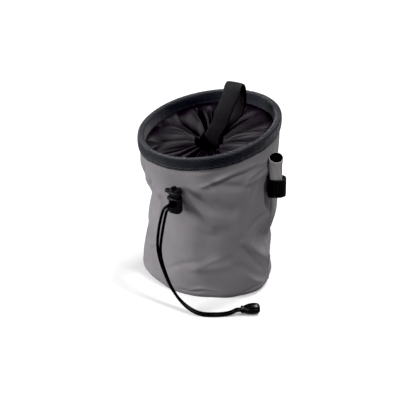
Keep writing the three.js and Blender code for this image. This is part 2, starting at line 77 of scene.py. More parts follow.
camera = bpy.data.objects.new("camera", bpy.data.cameras.new("camera"))
scene.collection.objects.link(camera)
scene.camera = camera
camera.location = TARGET + DISTANCE * Vector((0, -math.cos(ELEVATION), math.sin(ELEVATION)))
camera.rotation_euler = (math.pi / 2 - ELEVATION, 0, 0)
camera.data.lens = camera.data.sensor_width * DISTANCE / (PIXEL * IMAGE)
camera.data.shift_x = (IMAGE / 2 - TARGET_PIXEL[0]) / IMAGE
camera.data.shift_y = (TARGET_PIXEL[1] - IMAGE / 2) / IMAGE

# Named sizes, as in the part's source
CLEARANCE = 0.3 * MM
WALL = 1.8 * MM
BAND = 1.0 * MM
COLLAR = 1.1 * MM
BODY_R = 58 * MM
RIM_R = 61.4 * MM
RIM_H = 145 * MM
RIM_SLOPE = 0.16
BAND_H = 10.6 * MM
HEM = 6 * MM
MOUTH_R = 13 * MM
MOUTH_DROP = 18 * MM
NECK = 7 * MM
RIM_STACK = BAND + CLEARANCE
CORD_D = 2.5 * MM

# The wall's height share, then its radius on eight sides from +x round, as shares of BODY_R
WALL_SECTIONS = np.array([
    [0.0, 0.9, 0.88, 0.86, 0.89, 0.95, 0.87, 0.87, 1.0],
    [0.025, 0.935, 0.92, 0.9, 0.93, 0.99, 0.895, 0.9, 1.04],
    [0.08, 0.915, 0.93, 0.93, 0.94, 0.985, 0.9, 0.92, 1.04],
    [0.2, 0.93, 0.93, 0.93, 0.94, 0.965, 0.91, 0.94, 1.01],
    [0.28, 0.905, 0.935, 0.94, 0.935, 0.95, 0.905, 0.94, 0.98],
    [0.34, 0.945, 0.945, 0.945, 0.93, 0.935, 0.9, 0.94, 0.975],
    [0.44, 1.015, 0.97, 0.96, 0.92, 0.9, 0.89, 0.95, 1.0],
    [0.55, 1.025, 0.99, 0.97, 0.91, 0.866, 0.885, 0.96, 1.01],
    [0.63, 1.015, 0.995, 0.975, 0.925, 0.868, 0.89, 0.965, 1.01],
    [0.72, 1.005, 1.005, 1.0, 0.98, 0.965, 0.935, 0.985, 1.01],
    [0.8, 1.01, 1.01, 1.01, 1.01, 1.01, 0.975, 1.0, 1.01],
    [0.9, 1.015, 1.02, 1.02, 1.015, 1.015, 1.005, 1.015, 1.015],
])

# Large folds: from angle, from height, to angle, to height, width, depth
SOLID_FOLDS = [
    (-114, 0.72, -86, 0.54, 0.07, 0.028),
    (-97, 0.72, -70, 0.6, 0.1, -0.03),
    (-86, 0.81, -56, 0.74, 0.06, -0.034),
    (-82, 0.85, -40, 0.85, 0.05, 0.016),
    (-60, 0.75, -18, 0.79, 0.06, 0.024),
    (-58, 0.36, -24, 0.16, 0.08, 0.03),
    (-72, 0.27, -38, 0.07, 0.09, -0.026),
    (-40, 0.36, -20, 0.28, 0.07, -0.028),
    (-143, 0.68, -146, 0.36, 0.08, 0.03),
    (-172, 0.76, -154, 0.64, 0.07, -0.04),
    (-100, 0.22, -66, 0.25, 0.07, 0.014),
    (60, 0.62, 118, 0.54, 0.1, -0.03),
    (80, 0.3, 140, 0.22, 0.12, 0.024),
]

# Creases of the cloth alone: width and depth as shares of the radius, then the way they run.
# Those in front are read off the photograph in pixels, the others are angle and height.
FRONT_CREASES = [
    (0.05, 0.032, (181, 190), (191, 201), (200, 210), (209, 216), (218, 220)),
    (0.07, -0.03, (185, 188), (195, 197), (206, 206), (224, 217)),
    (0.05, -0.018, (180, 203), (187, 209), (196, 215), (204, 224)),
    (0.04, 0.034, (200, 187), (212, 183), (224, 178), (238, 171), (258, 163)),
    (0.05, -0.044, (207, 190), (221, 184), (235, 178), (246, 174), (259, 165)),
    (0.032, 0.032, (264, 166), (253, 175), (247, 182), (245, 192)),
    (0.045, -0.028, (256, 176), (254, 188), (252, 201)),
    (0.05, -0.026, (267, 213), (258, 221), (250, 231)),
    (0.045, 0.022, (250, 241), (255, 249), (265, 256)),
    (0.06, -0.034, (243, 246), (251, 258), (264, 270)),
    (0.04, 0.026, (244, 272), (253, 279), (264, 281)),
    (0.03, -0.02, (238, 296), (249, 291), (261, 282)),
    (0.022, 0.018, (188, 290), (201, 288), (216, 291)),
    (0.02, -0.022, (178, 288), (190, 291), (203, 292)),
    (0.06, 0.016, (190, 270), (208, 263), (224, 256)),
    (0.06, -0.014, (168, 268), (187, 263), (200, 262)),
    (0.1, -0.02, (196, 231), (210, 236), (228, 231)),
    (0.03, -0.026, (146, 170), (151, 180), (154, 190)),
    (0.03, 0.02, (143, 176), (147, 184), (153, 196)),
    (0.06, -0.016, (163, 196), (158, 212), (157, 230)),
    (0.05, 0.014, (160, 250), (165, 268), (176, 282)),
    (0.04, 0.014, (186, 172), (200, 175), (216, 172)),
]
SIDE_CREASES = [
    (0.045, -0.03, (-158, 0.86), (-166, 0.78), (-178, 0.7)),
    (0.04, 0.026, (-150, 0.3), (-162, 0.24), (-176, 0.22)),
    (0.045, 0.03, (148, 0.84), (160, 0.76), (176, 0.7)),
    (0.05, -0.03, (138, 0.8), (150, 0.7), (156, 0.58)),
    (0.04, 0.026, (104, 0.86), (120, 0.8), (140, 0.78)),
    (0.05, -0.028, (64, 0.84), (82, 0.76), (104, 0.74)),
    (0.045, 0.028, (28, 0.76), (44, 0.64), (62, 0.58)),
    (0.05, -0.03, (40, 0.82), (52, 0.72), (56, 0.6)),
    (0.05, 0.026, (-6, 0.6), (8, 0.48), (26, 0.42)),
    (0.045, -0.028, (-4, 0.42), (12, 0.3), (26, 0.16)),
    (0.05, 0.028, (96, 0.46), (122, 0.4), (150, 0.28)),
    (0.05, -0.026, (60, 0.36), (84, 0.26), (112, 0.24)),
    (0.04, 0.024, (30, 0.14), (60, 0.1), (92, 0.12)),
    (0.025, -0.02, (110, 0.05), (140, 0.035), (170, 0.05)),
    (0.025, -0.02, (-10, 0.05), (20, 0.04), (50, 0.05)),
    (0.06, 0.02, (168, 0.5), (184, 0.4), (196, 0.36)),
]
CREASE_STEPS = 40

# Side seams: their angles, the valley along each, and the low welt on both sides of it
SEAMS = (-29, 151)
SEAM_DEPTH = 0.7 * MM
SEAM_WIDTH = 0.7 * MM
WELT_H = 0.45 * MM
WELT_AT = 2.2 * MM
WELT_WIDTH = 1.6 * MM

# How far slack cloth may lie inside the wall's line, in millimetres: at the base, and more with height
SLACK_AT_BASE = 0.8
SLACK_GROWTH = 90

# Where a pixel's ray is searched for the wall, as shares of the way from the camera to the target
RAY_SHARES = np.linspace(0.93, 1.03, 2000)


def table_curve(rows, where):
    """The values of a table's rows at any place in its first column, on one smooth curve."""
    spots = rows[:, 0]
    values = rows[:, 1:]
    where = np.clip(where, spots[0], spots[-1])
    i = np.clip(np.searchsorted(spots, where, side="right"), 1, len(spots) - 1)
    t0, t1 = spots[i - 1], spots[i]
    before = np.where(i >= 2, spots[np.maximum(i - 2, 0)], 2 * t0 - t1)
    after = np.where(i < len(spots) - 1, spots[np.minimum(i + 1, len(spots) - 1)], 2 * t1 - t0)
    v_before = np.where((i >= 2)[..., None], values[np.maximum(i - 2, 0)], values[i])
    last = np.minimum(i + 1, len(spots) - 1)
    v_after = np.where((i < len(spots) - 1)[..., None], values[last], values[i - 1])
    half = (t1 - t0) * 0.5
    wp = (half / (t0 - before))[..., None]
    wn = (half / (after - t1))[..., None]
    p = ((where - t0) / (t1 - t0))[..., None]
    pp = p * p
    ppp = pp * p
    s_p = -wp * ppp + 2 * wp * pp - wp * p
    s_0 = (1 + wp) * ppp + (-1.5 - 2 * wp) * pp + (-0.5 + wp) * p + 1
    s_1 = (-1 - wn) * ppp + (1.5 + wn) * pp + 0.5 * p
    s_n = wn * ppp - wn * pp
    return s_p * v_before + s_0 * values[i - 1] + s_1 * values[i] + s_n * v_after


def smoothstep(x, low, high):
    t = np.clip((x - low) / (high - low), 0, 1)
    return t * t * (3 - 2 * t)


def fold_depth(angle, share):
    degrees = np.degrees(angle)
    depth = np.zeros(np.broadcast(angle, share).shape)
    for a0, h0, a1, h1, width, deep in SOLID_FOLDS:
        turn = np.radians((degrees - a0 + 180) % 360 - 180)
        rise = (share - h0) * RIM_H / BODY_R
        run_a = math.radians(a1 - a0)
        run_h = (h1 - h0) * RIM_H / BODY_R
        along = np.clip((turn * run_a + rise * run_h) / (run_a ** 2 + run_h ** 2), 0, 1)
        away = np.hypot(turn - along * run_a, rise - along * run_h) / width
        depth += deep * BODY_R * np.exp(-away * away)
    return depth


def wall_top(angle):
    return RIM_H - RIM_STACK + RIM_SLOPE * (RIM_R - RIM_STACK) * np.cos(angle)


def seam_groove(angle):
    depth = 0
    for seam in SEAMS:
        away = np.radians((np.degrees(angle) - seam + 180) % 360 - 180) * BODY_R
        depth = depth - SEAM_DEPTH * np.exp(-(away / SEAM_WIDTH) ** 2)
        depth = depth + WELT_H * np.exp(-((np.abs(away) - WELT_AT) / WELT_WIDTH) ** 2)
    return depth


def on_wall(x, y):
    """Angle and height share of the wall at a pixel, or of its nearest place where the ray passes it."""
    across = Vector((1, 0, 0)) * (x - TARGET_PIXEL[0]) * PIXEL
    upwards = Vector((0, math.sin(ELEVATION), math.cos(ELEVATION))) * (TARGET_PIXEL[1] - y) * PIXEL
    ray = np.array(TARGET - camera.location + across + upwards)
    points = np.array(camera.location) + RAY_SHARES[:, None] * ray
    angle = np.arctan2(points[:, 1], points[:, 0])
    share = np.clip(points[:, 2] / wall_top(angle), 0, 1)
    gap = np.hypot(points[:, 0], points[:, 1]) - wall_radius(angle, share)
    hit = np.argmax(gap < 0) if np.any(gap < 0) else np.argmin(gap)
    return math.degrees(angle[hit]), share[hit]


def crease_depth(angle, share):
    """Slack creases: each is deepest along the middle of its way and runs out at its ends."""
    depth = np.zeros(angle.shape)
    for width, deep, *way_points in CREASES:
        way_points = np.array([(a, h, 0) for a, h in way_points])
        curve = route_points(way_points, np.linspace(0, 1, CREASE_STEPS + 1))
        for step, (a, h, _) in enumerate(curve):
            turn = np.radians((np.degrees(angle) - a + 180) % 360 - 180)
            away = np.hypot(turn, (share - h) * RIM_H / BODY_R)
            size = math.sin(math.pi * (0.03 + 0.94 * step / CREASE_STEPS)) ** 0.6
            bump = size / (1 + (away / width) ** 2) ** 1.5
            nearest = bump if step == 0 else np.maximum(nearest, bump)
        depth += deep * BODY_R * nearest
    return depth


def wall_radius(angle, share, detail=False):
    angle, share = np.broadcast_arrays(angle, share)
    shares = table_curve(WALL_SECTIONS, np.minimum(share, 0.9))
    turn = (angle / (2 * np.pi) * 8) % 8
    side = np.floor(turn).astype(int)
    a, b, c, d = [np.take_along_axis(shares, ((side + k) % 8)[..., None], -1)[..., 0] for k in (-1, 0, 1, 2)]
    f = turn - side
    smooth = b + 0.5 * f * (c - a + f * (2 * a - 5 * b + 4 * c - d + f * (3 * (b - c) + d - a)))
    body = smooth * BODY_R + fold_depth(angle, share)
    if detail:
        slack = crease_depth(angle, share) + seam_groove(angle) + ripple(angle, share) * MM
        body = body + np.maximum(slack, -(SLACK_AT_BASE + SLACK_GROWTH * share) * MM)
    rim = RIM_R - RIM_STACK
    blend = smoothstep(share, 0.84, 1)
    return body + (rim - body) * blend


rng = np.random.default_rng(11)
WAVES = [(rng.integers(2, 13), rng.uniform(2, 22), rng.uniform(0, 6.28)) for _ in range(26)]


def ripple(angle, share):
    """Small uneven waves of slack cloth, in millimetres."""
    total = 0
    for turns, ups, start in WAVES:
        size = 0.55 / (1 + 0.12 * turns + 0.12 * ups)
        total = total + size * np.sin(turns * angle + ups * share + start)
    return total


def wall_point(angle, drop, offset, detail=False):
    """Points at a distance below the wall's top edge, moved outwards from its outside."""
    angle, drop = np.broadcast_arrays(angle, drop)
    top = wall_top(angle)
    radius = wall_radius(angle, np.minimum(1, 1 - drop / top), detail) + offset
    return np.stack([np.cos(angle) * radius, np.sin(angle) * radius, top - drop], -1)


def route_points(points, t):
    """Three.js's centripetal curve through points, at t from 0 to 1."""
    points = np.asarray(points, float)
    n = len(points)
    ext = np.vstack([2 * points[0] - points[1], points, 2 * points[-1] - points[-2]])
    p = np.clip(t, 0, 1) * (n - 1)
    i = np.minimum(np.floor(p).astype(int), n - 2)
    w = (p - i)[..., None]
    x0, x1, x2, x3 = ext[i], ext[i + 1], ext[i + 2], ext[i + 3]
    gaps = (x1 - x0, x2 - x1, x3 - x2)
    d0, d1, d2 = [np.sqrt(np.linalg.norm(q, axis=-1, keepdims=True)) for q in gaps]
    m1 = ((x1 - x0) / d0 - (x2 - x0) / (d0 + d1) + (x2 - x1) / d1) * d1
    m2 = ((x2 - x1) / d1 - (x3 - x1) / (d1 + d2) + (x3 - x2) / d2) * d1
    return x1 + m1 * w + (-3 * x1 + 3 * x2 - 2 * m1 - m2) * w ** 2 + (2 * x1 - 2 * x2 + m1 + m2) * w ** 3


def unit(v):
    return v / np.linalg.norm(v, axis=-1, keepdims=True)


def outwards(angle):
    return np.stack([np.cos(angle), np.sin(angle), np.zeros_like(angle)], -1)


CREASES = [(width, deep, *[on_wall(x, y) for x, y in way]) for width, deep, *way in FRONT_CREASES]
CREASES += SIDE_CREASES


# ---------------------------------------------------------------- meshes
def mesh_object(name, verts, faces, loops_uv=None, face_slots=None):
    mesh = bpy.data.meshes.new(name)
    mesh.from_pydata([tuple(v) for v in verts], [], [tuple(int(k) for k in f) for f in faces])
    mesh.polygons.foreach_set("use_smooth", [True] * len(mesh.polygons))
    if loops_uv is not None:
        layer = mesh.uv_layers.new(name="cloth")
        layer.data.foreach_set("uv", np.asarray(loops_uv, float).ravel())
    if face_slots is not None:
        mesh.polygons.foreach_set("material_index", face_slots)
    mesh.update()
    thing = bpy.data.objects.new(name, mesh)
    scene.collection.objects.link(thing)
    return thing


def skin(name, grid, uv=None, wrap_rows=False, caps=False, row_slots=None):
    """A surface through a grid of points, rows by columns, with its faces turned outwards."""
    rows, columns = grid.shape[:2]
    row_ids = np.arange(rows if wrap_rows else rows - 1)
    r, c = np.meshgrid(row_ids, np.arange(columns), indexing="ij")
    r2, c2 = (r + 1) % rows, (c + 1) % columns
    quads = np.stack([r * columns + c, r * columns + c2, r2 * columns + c2, r2 * columns + c], -1)
    quads = quads.reshape(-1, 4)
    verts = grid.reshape(-1, 3)
    a, b, d, e = [verts[quads[:, k]] for k in range(4)]
    volume = np.sum(a * np.cross(b, d)) + np.sum(a * np.cross(d, e))
    flip = volume < 0
    loops = None
    if uv is not None:
        u, v = uv
        u_next = np.append(u[1:], 2 * u[-1] - u[-2])
        v_next = np.append(v[1:], 2 * v[-1] - v[-2])
        corner_u = np.stack([u[c], u_next[c], u_next[c], u[c]], -1).reshape(-1, 4)
        corner_v = np.stack([v[r], v[r], v_next[r], v_next[r]], -1).reshape(-1, 4)
        loops = np.stack([corner_u, corner_v], -1)
    if flip:
        quads = quads[:, ::-1]
        loops = None if loops is None else loops[:, ::-1]
    faces = list(quads)
    slots = None
    if row_slots is not None:
        slots = list(np.asarray(row_slots)[r.ravel()])
    flat_uv = None if loops is None else loops.reshape(-1, 2)
    if caps:
        first = list(range(columns))
        last = [(rows - 1) * columns + k for k in range(columns)]
        faces += [first, last[::-1]] if flip else [first[::-1], last]
        if flat_uv is not None:
            flat_uv = np.vstack([flat_uv, np.zeros((2 * columns, 2))])
        if slots is not None:
            slots += [slots[0], slots[-1]]
    return mesh_object(name, verts, faces, flat_uv, slots)


def tube(name, path, radius, sides, relief):
    """A round tube along a path, with its own frame carried along, and relief(along, round)."""
    path = np.asarray(path)
    tangents = unit(np.gradient(path, axis=0))
    normal = np.cross(tangents[0], (0, 0, 1))
    normals = []
    for tangent in tangents:
        normal = normal - tangent * np.dot(normal, tangent)
        normal = normal / np.linalg.norm(normal)
        normals.append(normal)
    normals = np.array(normals)
    sideways = np.cross(tangents, normals)
    lengths = np.append(0, np.cumsum(np.linalg.norm(np.diff(path, axis=0), axis=1)))
    around = np.arange(sides) / sides * 2 * np.pi
    r = radius + relief(lengths[:, None], around[None, :])
    grid = path[:, None] + r[..., None] * (
        np.cos(around)[None, :, None] * normals[:, None] + np.sin(around)[None, :, None] * sideways[:, None]
    )
    return skin(name, grid, uv=(np.arange(sides) / sides, lengths), caps=True)


def stitch_mesh(name, centres, directions, normals, length, thickness):
    """A row of short sewn stitches, each a small rounded thread that dips into the cloth."""
    steps = np.linspace(-1, 1, 7)
    sides = 6
    around = np.arange(sides) / sides * 2 * np.pi
    verts, faces = [], []
    for centre, along, out in zip(centres, directions, normals):
        across = np.cross(along, out)
        base = len(verts)
        for s in steps:
            middle = centre + along * s * length / 2 + out * thickness * (0.35 - 0.75 * s * s)
            r = thickness / 2 * math.sqrt(max(0.12, 1 - 0.85 * s ** 4))
            for a in around:
                verts.append(middle + r * (math.cos(a) * across + math.sin(a) * out))
        for k in range(len(steps) - 1):
            for j in range(sides):
                j2 = (j + 1) % sides
                q = [base + k * sides + j, base + k * sides + j2]
                faces.append([q[0], q[1], q[1] + sides, q[0] + sides])
        faces.append([base + j for j in range(sides)][::-1])
        faces.append([base + (len(steps) - 1) * sides + j for j in range(sides)])
    return mesh_object(name, np.array(verts), faces)


# ---------------------------------------------------------------- cords
LOCK_ANGLE = math.radians(-117)
LOCK_Z = 0.101
LOCK_REACH = (0.0906, 0.1131)
LOCK_SPREAD = 9.7
BARREL_DEPTH = 9.6 * MM
BRAID_PITCH = 0.55 * MM
BRAID_RELIEF = 0.05 * MM

# The strands' middle line in millimetres, the way that they lie side by side, and how far apart
ROUTE = [
    (-34.0, -65.6, 101.0, -20, 1.14),
    (-36.4, -66.6, 99.0, -18, 1.2),
    (-38.2, -66.0, 92.6, -16, 1.32),
    (-39.8, -65.2, 84.4, -17, 1.4),
    (-41.1, -64.5, 75.7, -18, 1.4),
    (-42.0, -64.7, 68.2, -24, 1.32),
    (-42.4, -65.0, 60.6, -34, 1.2),
    (-41.9, -65.5, 53.9, -44, 1.14),
    (-40.4, -66.0, 45.8, -52, 1.14),
    (-37.8, -67.0, 37.0, -58, 1.14),
    (-33.9, -68.4, 26.2, -62, 1.14),
    (-29.8, -69.8, 18.2, -66, 1.14),
    (-25.8, -71.2, 12.5, -70, 1.14),
    (-21.2, -73.2, 8.0, -76, 1.14),
    (-16.2, -75.2, 4.7, -82, 1.14),
    (-11.1, -77.0, 2.5, -88, 1.14),
    (-5.0, -78.4, 1.55, -90, 1.14),
    (2.5, -79.0, 1.5, -90, 1.14),
    (11.0, -78.5, 1.55, -90, 1.14),
    (18.0, -77.7, 2.6, -90, 1.14),
    (23.4, -77.1, 5.0, -90, 1.14),
    (26.8, -76.7, 5.1, -90, 1.14),
]
lock_out = outwards(np.array(LOCK_ANGLE))
lock_side = outwards(np.array(LOCK_ANGLE + math.pi / 2))


def lock_centre():
    """The lock stands against the wall where the wall reaches furthest behind it."""
    reach = []
    for height in np.linspace(*LOCK_REACH, 5):
        for turn in np.linspace(-1, 1, 5) * LOCK_SPREAD * MM / BODY_R:
            angle = np.array(LOCK_ANGLE + turn)
            reach.append(float(wall_radius(angle, height / wall_top(angle)) * np.cos(turn)))
    return lock_out * (max(reach) + CLEARANCE + BARREL_DEPTH / 2) + np.array([0, 0, LOCK_Z])


hole = lock_centre()
stations = [(hole + lock_out * d, lock_side, 1 + CLEARANCE / CORD_D)
            for d in (-(WALL + 2 * CLEARANCE + BARREL_DEPTH / 2), 0, BARREL_DEPTH / 2 + 0.9 * MM)]
stations += [(np.array(row[:3]) * MM, outwards(np.radians(np.array(row[3]))), row[4]) for row in ROUTE]
middles = np.array([s[0] for s in stations])


def strand_path(side, count):
    spots = []
    for i, (point, spread, apart) in enumerate(stations):
        t = i / (len(stations) - 1)
        ahead = route_points(middles, np.array([min(1, t + 1e-4)]))[0]
        behind = route_points(middles, np.array([max(0, t - 1e-4)]))[0]
        tangent = unit(ahead - behind)
        beside = unit(spread - tangent * np.dot(spread, tangent))
        spots.append(point + beside * side * apart * CORD_D / 2)
    t = np.linspace(0.012, 1, count)
    return route_points(spots, t)


def braid(along, around):
    """Crossing threads of a braided cord, raised and sunk by turns."""
    one = np.sin(8 * around + along / BRAID_PITCH)
    two = np.sin(8 * around - along / BRAID_PITCH)
    return BRAID_RELIEF * np.maximum(one, two)


cords = []
for side, node in ((-1, "draw_cord_left"), (1, "draw_cord_right")):
    path = strand_path(side, 700)
    piece = tube(node + "_braid", path, CORD_D / 2 - BRAID_RELIEF, 32, braid)
    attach(piece, "bag")
    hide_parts(node)
    cords.append((piece, path))

# ---------------------------------------------------------------- bag cloth
COLUMNS = 330
turns = np.arange(COLUMNS) / COLUMNS * 2 * np.pi
top = wall_top(turns)
outer_shares = np.concatenate([np.linspace(0, 0.06, 16), np.linspace(0.068, 0.93, 118),
                               np.linspace(0.94, 1, 6)])
inner_shares = np.concatenate([np.linspace(1, 0.92, 5), np.linspace(0.9, 0.004, 90)])
outer = wall_point(turns[None, :], top[None, :] * (1 - outer_shares[:, None]), 0, detail=True)
inner = wall_point(turns[None, :], top[None, :] * (1 - inner_shares[:, None]), -WALL)
# The lining follows the creases that go inwards, but not at the base or under the rim
at_lining = (turns[None, :], inner_shares[:, None])
pushed = wall_radius(*at_lining, True) - wall_radius(*at_lining)
follow = smoothstep(inner_shares, 0.012, 0.03) * (1 - smoothstep(inner_shares, 0.84, 0.9))
pushed = np.minimum(pushed, 0) * follow[:, None]
inner[..., 0] += np.cos(turns) * pushed
inner[..., 1] += np.sin(turns) * pushed
grid = np.concatenate([outer, inner])
heights = np.concatenate([outer_shares, 1 + (1 - inner_shares)]) * RIM_H
bag_cloth = skin("bag_cloth", grid, uv=(turns * BODY_R, heights), wrap_rows=True,
                 row_slots=[0] * len(outer_shares) + [1] * len(inner_shares))
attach(bag_cloth, "bag")
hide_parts("bag_body")

# Base: a flat cloth disc, a little uneven, with a turned edge
BASE_ROWS = [
    (0.02, 0.35), (0.3, 0.3), (0.6, 0.25), (0.85, 0.2), (0.93, 0.0), (0.97, 0.0), (0.99, 0.25), (1, 0.7),
    (0.995, 1.4), (0.98, 2.0), (0.6, 1.9), (0.02, 1.9),
]
base_radius = wall_radius(turns, np.zeros_like(turns)) - WALL - CLEARANCE
rings = []
ring_v = []
for share, z in BASE_ROWS:
    wobble = 0.1 * np.sin(3 * turns + 8 * share) * (share < 0.9) * (z < 1)
    rings.append(np.stack([np.cos(turns) * base_radius * share, np.sin(turns) * base_radius * share,
                           np.full(COLUMNS, z * MM) + wobble * MM], -1))
    ring_v.append(share * BODY_R + z * MM)
base_cloth = skin("base_cloth", np.array(rings), uv=(turns * BODY_R, np.array(ring_v)), caps=True)
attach(base_cloth, "bag")
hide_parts("base_panel")

# ---------------------------------------------------------------- rim tape
hem_outside = -(WALL + CLEARANCE)
hem_inside = hem_outside - COLLAR
band_inside = hem_inside - CLEARANCE - BAND
band_leg = BAND_H - RIM_STACK
middle = (band_inside + RIM_STACK) / 2
half_width = RIM_STACK - middle


def leg_puff(s):
    """How far a leg of the tape stands proud, with the dent of its line of stitches."""
    return 0.35 * MM * math.sin(math.pi * s) - 0.3 * MM * math.exp(-((s - 0.8) / 0.07) ** 2)


def rim_profile():
    """Drop below the wall's top edge and offset from its outside, round the folded tape."""
    rows = []
    for s in np.linspace(1, 0, 20):
        rows.append((s * band_leg, RIM_STACK + leg_puff(s)))
    for k in np.linspace(0, 1, 15)[1:-1]:
        turn = k * math.pi
        crease = 0.25 * MM * math.exp(-((k - 0.5) / 0.05) ** 2)
        rows.append((-(RIM_STACK - crease) * math.sin(turn), middle + half_width * math.cos(turn)))
    for s in np.linspace(0, 1, 12):
        rows.append((s * band_leg, band_inside - leg_puff(s)))
    rows.append((band_leg, band_inside + BAND))
    rows.append((-CLEARANCE, band_inside + BAND))
    rows.append((-CLEARANCE, CLEARANCE))
    rows.append((band_leg, CLEARANCE))
    return rows


profile = rim_profile()
TAPE_COLUMNS = 1080
t_turns = np.arange(TAPE_COLUMNS) / TAPE_COLUMNS * 2 * np.pi
RIB_PITCH = 2.8 * MM
STRIPE = 3.2 * MM
RIB_RELIEF = 0.07 * MM
wave = 0.18 * MM * (np.sin(9 * t_turns + 1) + 0.6 * np.sin(17 * t_turns + 2) + 0.5 * np.sin(31 * t_turns))
run = np.abs((t_turns * RIM_R) % (2 * STRIPE) - STRIPE)
run_v = np.append(0, np.cumsum(np.hypot(*np.diff(np.array(profile), axis=0).T)))
grid = []
for (drop, offset), v in zip(profile, run_v):
    rib = RIB_RELIEF * np.sin(2 * np.pi * (run + v) / RIB_PITCH) * (v < run_v[-4])
    side = 1 if offset > middle else -1
    grid.append(wall_point(t_turns, np.full(TAPE_COLUMNS, drop) + wave * (drop > 1 * MM) - rib * (drop < 0),
                           offset + 0.3 * wave + side * rib * (drop >= 0)))
grid = np.array(grid)
rim_tape = skin("rim_tape", grid, uv=(t_turns * RIM_R, run_v), wrap_rows=True)
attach(rim_tape, "bag")
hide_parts("rim_band")

# ---------------------------------------------------------------- gathered collar
C_COLUMNS = 720
PLEAT_LEVEL = 0.62
PLEAT_HEIGHT = 8.6
c_turns = np.arange(C_COLUMNS) / C_COLUMNS * 2 * np.pi
mouth_height = RIM_H - MOUTH_DROP
way = np.concatenate([np.linspace(0, 0.94, 44), np.linspace(0.955, 1, 5)])
VALLEYS = np.radians([
    6, 17, 38, 49, 73, 84, 101, 126, 138, 149, 171, 187, 205, 219, 229, 240, 249, 257, 264, 271, 278, 286,
    296, 309, 327, 346,
])


def pleat_shape(angle, w):
    """Puffed folds with sharp valleys between them, that bunch towards the mouth."""
    shift = 0.12 * np.sin(3 * angle + 1) * (1 - w) ** 2 + 0.03 * np.sin(5 * w + 2 * angle)
    a = (angle + shift) % (2 * np.pi)
    edges = np.append(VALLEYS, VALLEYS[0] + 2 * np.pi)
    a = np.where(a < VALLEYS[0], a + 2 * np.pi, a)
    i = np.clip(np.searchsorted(edges, a, side="right") - 1, 0, len(VALLEYS) - 1)
    width = edges[i + 1] - edges[i]
    f = (a - edges[i]) / width
    crest = 0.5 + 0.16 * np.sin(2.7 * i)
    f = np.where(f < crest, 0.5 * f / crest, 0.5 + 0.5 * (f - crest) / (1 - crest))
    puff = np.sin(np.pi * f) ** 0.7
    size = np.clip(width / 0.3, 0.4, 1.45)
    return puff * (0.85 + 0.3 * np.sin(4.1 * i + 1)) * size, i, f


pleat, number, inside_fold = pleat_shape(c_turns[None, :], way[:, None])
hem = wall_point(c_turns, np.full(C_COLUMNS, band_leg + CLEARANCE), hem_inside)
hem_radius = np.hypot(hem[:, 0], hem[:, 1])
radius = hem_radius[None, :] + (MOUTH_R - hem_radius[None, :]) * way[:, None]
straight = hem[None, :, 2] + (mouth_height - hem[None, :, 2]) * way[:, None]
bulge = np.sin(np.pi * way ** 0.7) * 0.05 * MOUTH_DROP
grow = smoothstep(way, 0.0, 0.42) * (1 - 0.5 * smoothstep(way, 0.75, 1))
lift = (pleat - PLEAT_LEVEL) * PLEAT_HEIGHT * MM * grow[:, None]
ridges = np.abs(np.sin((2 + number % 3) * np.pi * inside_fold + 1.3 * number))
creases = -0.9 * MM * (1 - ridges) ** 4 * smoothstep(way, 0.05, 0.3)[:, None]
creases = creases * (1 - smoothstep(way, 0.7, 1))[:, None] * (0.5 + 0.5 * np.sin(3.1 * number))
soft = 0.5 * MM * np.sin(6 * way[:, None] + 2.1 * number + 2 * inside_fold) * np.sin(np.pi * way)[:, None]
height = straight + bulge[:, None] + lift + creases + soft * np.sin(np.pi * inside_fold)
upper = np.stack([np.cos(c_turns) * radius, np.sin(c_turns) * radius, height], -1)
under = upper[::-3].copy()
under[..., 2] -= 1.3 * MM
hem_top = wall_point(c_turns, np.full(C_COLUMNS, band_leg - HEM), hem_inside)
hem_back = wall_point(c_turns, np.full(C_COLUMNS, band_leg - HEM), hem_outside)
hem_low = wall_point(c_turns, np.full(C_COLUMNS, band_leg + CLEARANCE + 1.5 * COLLAR), hem_outside)


def neck_ring(r, drop, share):
    ring_radius = r + 0.35 * MM * np.sin(26 * c_turns) * share
    return np.stack([np.cos(c_turns) * ring_radius, np.sin(c_turns) * ring_radius,
                     np.full(C_COLUMNS, mouth_height - drop)], -1)


neck = [neck_ring(MOUTH_R - COLLAR, NECK * s, 1 - s) for s in (0.3, 0.65, 1)]
neck_back = [neck_ring(MOUTH_R, NECK, 0)]
rows = [hem_back, hem_top, *upper, *neck, *neck_back, *under[1:-1], hem_low]
slots = np.linspace(0, 0.09, len(rows))
collar_cloth = skin("collar_cloth", np.array(rows), uv=(c_turns * 0.04, slots), wrap_rows=True)
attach(collar_cloth, "bag")
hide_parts("closure_collar")

# ---------------------------------------------------------------- pull loop
LOOP_ROUTE = np.array([
    (0.0, 0.0, -0.16), (0.0, 0.0, 0.0), (-0.06, 0.18, 0.15), (-0.12, 0.42, 0.3), (-0.14, 0.57, 0.48),
    (-0.1, 0.76, 0.66), (-0.02, 0.93, 0.83), (0.12, 0.99, 0.96), (0.42, 1.02, 1.0), (0.74, 1.05, 0.955),
    (0.96, 1.06, 0.82), (1.02, 1.04, 0.62), (0.9, 0.86, 0.38), (0.46, 0.28, 0.14), (0.134, 0.0, -0.04),
    (0.134, 0.0, -0.16),
])
STRAP_STEPS = 48
WEB_W = 15 * MM
WEB_T = 1.3 * MM
LOOP_RISE = 54 * MM
LOOP_OPENING = 12 * MM
LOOP_LEAN = 18 * MM
TWIST = np.array(math.radians(-22))
along_web = outwards(TWIST)
across_web = outwards(TWIST + math.pi / 2)
sagitta = MOUTH_R - math.sqrt(MOUTH_R ** 2 - (WEB_W / 2 + CLEARANCE) ** 2)
seat = MOUTH_R - COLLAR - sagitta - CLEARANCE - WEB_T * 1.5 - CLEARANCE
spots = np.array([0, 0, mouth_height]) + LOOP_ROUTE[:, 2:3] * LOOP_RISE * np.array([0, 0, 1])
spots = spots + (seat + LOOP_ROUTE[:, 0:1] * LOOP_OPENING) * across_web
spots = spots + LOOP_ROUTE[:, 1:2] * LOOP_LEAN * along_web


